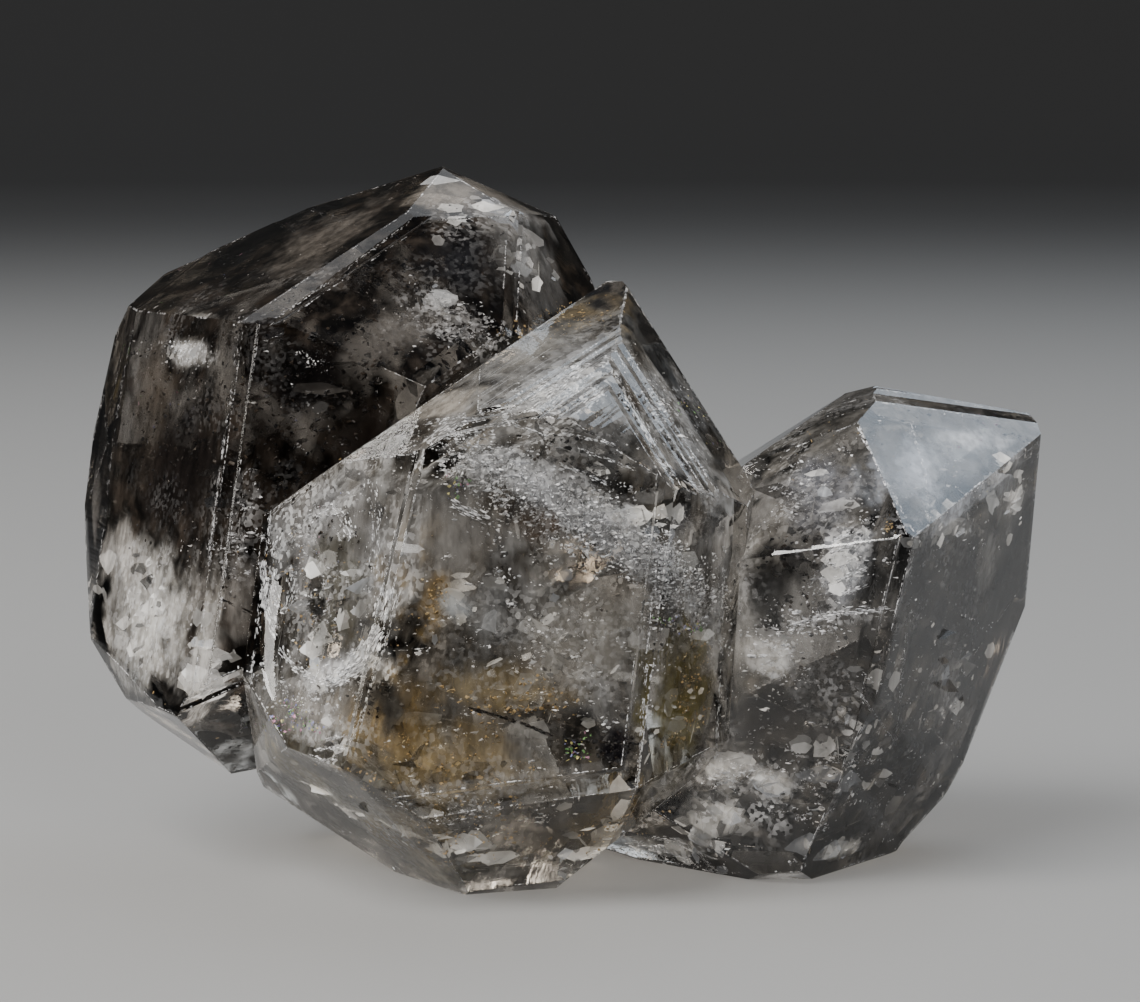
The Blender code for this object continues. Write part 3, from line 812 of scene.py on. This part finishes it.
            (274, 725, 14, 8, 0, 0.5, 1.4, 60), (292, 714, 10, 14, 0, 0.5, 1.4, 70),
            (310, 722, 8, 16, 0, 0.5, 1.4, 45), (456, 484, 8, 12, 0, 0.6, 1.6, 40),
            (580, 757, 14, 16, 0, 0.6, 2.0, 55), (685, 625, 20, 7, 0, 0.5, 1.6, 60),
            (700, 415, 10, 20, -38, 0.5, 1.6, 40),
        ),
        "free": {"left": 30, "centre": 40, "right": 30},
    },
}


def anyTurn(draw):
    return Vector([draw.gauss(0, 1) for axis in range(3)]).to_track_quat("Z", "Y").to_matrix()


def turnAlong(way, draw):                 # the long side follows the way given
    side = way.cross(Vector([draw.gauss(0, 1) for axis in range(3)])).normalized()
    return Matrix((way, side, way.cross(side))).transposed()


def flakesInSeats(look, draw):
    flakes = []
    for x, y, across, high, turn, near, far, count in look.get("seats", ()):
        turn = math.radians(turn)
        for clump in range(max(1, count // look["clump"])):
            a, b = draw.gauss(0, 0.5) * across, draw.gauss(0, 0.5) * high
            depth = blend(near, far, draw.random() ** 1.5)
            heading = turn + draw.gauss(0, 0.5)
            stride = draw.uniform(1.0, 3.5)
            for index in range(look["clump"]):
                step = (index - look["clump"] / 2) * stride
                px = x + a * math.cos(turn) - b * math.sin(turn) + step * math.cos(heading)
                py = y + a * math.sin(turn) + b * math.cos(turn) + step * math.sin(heading)
                spread = 1.2 + stride * 0.5
                point = seenAt(px + draw.gauss(0, spread), py + draw.gauss(0, spread), depth)
                if point and inside(point, 0.3):
                    low, top = look["size"]
                    size = blend(low, top, draw.random() ** 2.2)
                    flakes.append((point, anyTurn(draw), size, blend(1, look["long"], draw.random() ** 2)))
    return flakes


def flakesOnSheets(look, draw):           # healed cracks: flakes lie on a few sheets
    flakes = []
    for name, count in look.get("free", {}).items():
        points = [f.calc_center_median() for f in plain.faces if owner[f.index] == name]
        middle = sum(points, Vector()) / len(points)
        for sheet in range(count // 100 + 1):
            facing = Vector([draw.gauss(0, 1) for axis in range(3)]).normalized()
            start = middle.lerp(draw.choice(points), 0.35 + draw.random() * 0.5)
            side = facing.orthogonal().normalized()
            up = facing.cross(side)
            for index in range(min(100, count)):
                a, b = draw.gauss(0, 4.5) * mm, draw.gauss(0, 3.0) * mm
                point = start + side * a + up * b
                point += facing * (noise.noise(point * 150) * 1.6 * mm + draw.gauss(0, 0.08) * mm)
                if inside(point, 0.35):
                    low, top = look["size"]
                    flakes.append((point, anyTurn(draw), blend(low, top, draw.random() ** 2.2),
                                   blend(1, look["long"], draw.random() ** 2)))
    return flakes


def rounded(places):                      # corners of a line are cut twice
    places = [Vector(place) for place in places]
    for turn in range(2):
        cut = [places[0]]
        for a, b in zip(places, places[1:]):
            cut += [a.lerp(b, 0.25), a.lerp(b, 0.75)]
        places = cut + [places[-1]]
    return places


def flakesOnLines(look, draw):            # cracks and growth lines that the picture shows
    flakes = []
    for depth, spread, density, size, places in look.get("lines", ()):
        places = rounded(places)
        for a, b in zip(places, places[1:]):
            across = Vector((b.y - a.y, a.x - b.x)).normalized()
            start, end = seenAt(a.x, a.y, depth), seenAt(b.x, b.y, depth)
            if not (start and end) or (end - start).length < 1e-7:
                continue
            way = (end - start).normalized()
            for index in range(max(1, round((b - a).length * density))):
                share = draw.random()
                gap = noise.noise(Vector((*a.lerp(b, share), depth * 9)) * 0.06)
                if gap < -0.28:
                    continue
                place = a.lerp(b, share) + across * draw.gauss(0, spread)
                point = seenAt(place.x, place.y, depth * draw.uniform(0.8, 1.3))
                if point and inside(point, size * 0.6):
                    flakes.append((point, turnAlong(way, draw), size * draw.uniform(0.25, 0.9),
                                   draw.uniform(1.5, 4.5)))
    return flakes


def flakesForEdgeGlints(look, draw):            # pale flakes along every long edge: painted glints where the edges catch the light
    flakes = []
    for edge in plain.edges if "edges" in look else ():
        if not edge.is_convex or edge.calc_face_angle(0) < math.radians(16):
            continue
        a, b = (vertex.co for vertex in edge.verts)
        length = (b - a).length
        if length < 1.2 * mm:
            continue
        way = (b - a) / length
        inward = -(edge.link_faces[0].normal + edge.link_faces[1].normal).normalized()
        for index in range(round(length / (0.16 * mm))):
            point = a.lerp(b, draw.random())
            if noise.noise(point * 420 + Vector((3, 8, 1))) > (look["edges"] - 0.5) * 1.2:
                continue
            size = draw.uniform(0.018, 0.055)
            point = point + inward * (size * 1.6 + 0.07 + abs(draw.gauss(0, 0.03))) * mm
            if inside(point, size * 0.8):
                flakes.append((point, turnAlong(way, draw), size, draw.uniform(1.5, 4.0)))
    return flakes


def makeFlakes(name):
    look = flakeLook[name]
    draw = random.Random(look["seed"])
    flakes = flakesInSeats(look, draw) + flakesOnSheets(look, draw)
    flakes += flakesOnLines(look, draw) + flakesForEdgeGlints(look, draw)
    corners, faces, shades = [], [], []
    for point, turn, size, long_ in flakes:
        size *= mm
        sides = draw.choice(look["sides"])
        first = len(corners)
        shade = Vector(look["shades"][0]).lerp(Vector(draw.choice(look["shades"])), draw.random())
        if name == "film":
            shade = Vector(draw.choice(look["shades"]))
        for level in (-0.5, 0.5):
            for step in range(sides):
                around = math.tau * (step + draw.uniform(-0.25, 0.25)) / sides
                reach = size * draw.uniform(0.6, 1.2)
                corners.append(point + turn @ Vector((
                    math.cos(around) * reach * long_, math.sin(around) * reach,
                    level * size * look["thick"] * 2)))
                shades.append((*shade, 1))
        faces.append([first + sides - 1 - step for step in range(sides)])
        faces.append([first + sides + step for step in range(sides)])
        for step in range(sides):
            after = (step + 1) % sides
            faces.append([first + step, first + after, first + sides + after, first + sides + step])
    data = bpy.data.meshes.new(name + "Flakes")
    data.from_pydata(corners, [], faces)
    paint(data, "shade", shades)
    material, tree, shader = newMaterial(name + "Flakes")
    shade = addAttribute(tree, "shade")
    tree.links.new(shade.outputs["Color"], shader.inputs["Base Color"])
    shader.inputs["Roughness"].default_value = look["roughness"]
    shader.inputs["Metallic"].default_value = look["metallic"]
    shader.inputs["Alpha"].default_value = look.get("alpha", 1.0)
    item = linkObject(name + "Flakes", data, material)
    item.visible_shadow = "alpha" not in look
    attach(item, "root")
    triangles = sum(len(face) - 2 for face in faces)
    print("  ", name, len(flakes), "flakes", triangles, "triangles")


for name in flakeLook:
    makeFlakes(name)

print("floor, lights and camera")

studio = {
    "floorRadius": 1.0,             # m, level so far, then it bends up all round
    "floorBend": 0.5,
    "floorHigh": 0.9,
    "floorColour": (0.205, 0.203, 0.20),
    "paintedFalloffColour": (0.07, 0.07, 0.07),
    "paintedFalloff": (0.25, 0.85),           # painted falloff of light: the floor darkens between these distances, m from the middle
    "worldColour": (0.055, 0.060, 0.070),
    "lamps": (                      # name, place in m, aim in m, width, height, power, colour
        ("key", (-0.35, -0.25, 0.60), (0, 0, 0.02), 0.45, 0.45, 13.0, (1.0, 0.98, 0.95)),
        ("side", (0.31, 0.40, 0.62), (0.02, 0, 0.03), 0.52, 0.50, 2.6, (0.74, 0.86, 1.0)),
        ("back", (-0.08, 0.52, 0.60), (0, 0, 0.03), 0.50, 0.40, 0.5, (0.95, 0.97, 1.0)),
        ("left", (-0.62, -0.16, 0.34), (0, 0, 0.03), 0.30, 0.40, 3.4, (1.0, 0.97, 0.93)),
        ("front", (0.26, -0.55, 0.36), (0, 0, 0.03), 0.26, 0.26, 2.4, (1.0, 0.99, 0.97)),
    ),
}


def makeFloor():
    mesh = bmesh.new()
    flat, bend = studio["floorRadius"], studio["floorBend"]
    line = [(0, 0), (flat, 0)]
    for step in range(1, 13):
        around = math.radians(90) * step / 12
        line.append((flat + bend * math.sin(around), bend * (1 - math.cos(around))))
    line.append((flat + bend, studio["floorHigh"]))
    corners = [mesh.verts.new((x, 0, z)) for x, z in line]
    edges = [mesh.edges.new(pair) for pair in zip(corners, corners[1:])]
    bmesh.ops.spin(
        mesh, geom=corners + edges, axis=(0, 0, 1), cent=(0, 0, 0), angle=math.tau, steps=64,
        use_merge=True)
    bmesh.ops.remove_doubles(mesh, verts=mesh.verts[:], dist=1e-6)
    material, tree, shader = newMaterial("floorWithPaintedFalloff")
    place = tree.nodes.new("ShaderNodeTexCoord")
    away = tree.nodes.new("ShaderNodeVectorMath")
    away.operation = "LENGTH"
    # painted falloff of light: the floor grows darker away from the middle
    paintedFalloff = tree.nodes.new("ShaderNodeMapRange")
    paintedFalloff.interpolation_type = "SMOOTHSTEP"
    paintedFalloff.inputs["From Min"].default_value, paintedFalloff.inputs["From Max"].default_value = studio["paintedFalloff"]
    tree.links.new(place.outputs["Object"], away.inputs[0])
    tree.links.new(away.outputs["Value"], paintedFalloff.inputs["Value"])
    tree.links.new(
        addMix(tree, paintedFalloff.outputs["Result"], (*studio["floorColour"], 1), (*studio["paintedFalloffColour"], 1)),
        shader.inputs["Base Color"])
    shader.inputs["Roughness"].default_value = 0.55
    linkObject("floor", mesh, material, smooth=True)


def aim(item, place, target):
    item.location = place
    item.rotation_euler = (Vector(target) - Vector(place)).to_track_quat("-Z", "Y").to_euler()


makeFloor()
for name, place, target, width, height, power, colour in studio["lamps"]:
    lamp = bpy.data.lights.new(name, "AREA")
    lamp.shape = "RECTANGLE"
    lamp.size = width
    lamp.size_y = height
    lamp.energy = power
    lamp.color = colour
    item = bpy.data.objects.new(name, lamp)
    scene.collection.objects.link(item)
    aim(item, place, target)

world = bpy.data.worlds.new("studio")
scene.world = world
world.use_nodes = True
world.node_tree.nodes["Background"].inputs["Color"].default_value = (*studio["worldColour"], 1)

cameraData = bpy.data.cameras.new("camera")
camera = bpy.data.objects.new("camera", cameraData)
scene.collection.objects.link(camera)
cameraData.lens = picture["lens"]
cameraData.sensor_width = picture["sensor"]
cameraData.clip_start = 0.01
aim(camera, picture["camera"], picture["target"])
scene.camera = camera
scene.cycles.transparent_max_bounces = 12
scene.cycles.max_bounces = 5
scene.cycles.diffuse_bounces = 1
scene.cycles.glossy_bounces = 2
scene.cycles.transmission_bounces = 4
scene.cycles.caustics_refractive = False
scene.cycles.caustics_reflective = False

print("done")
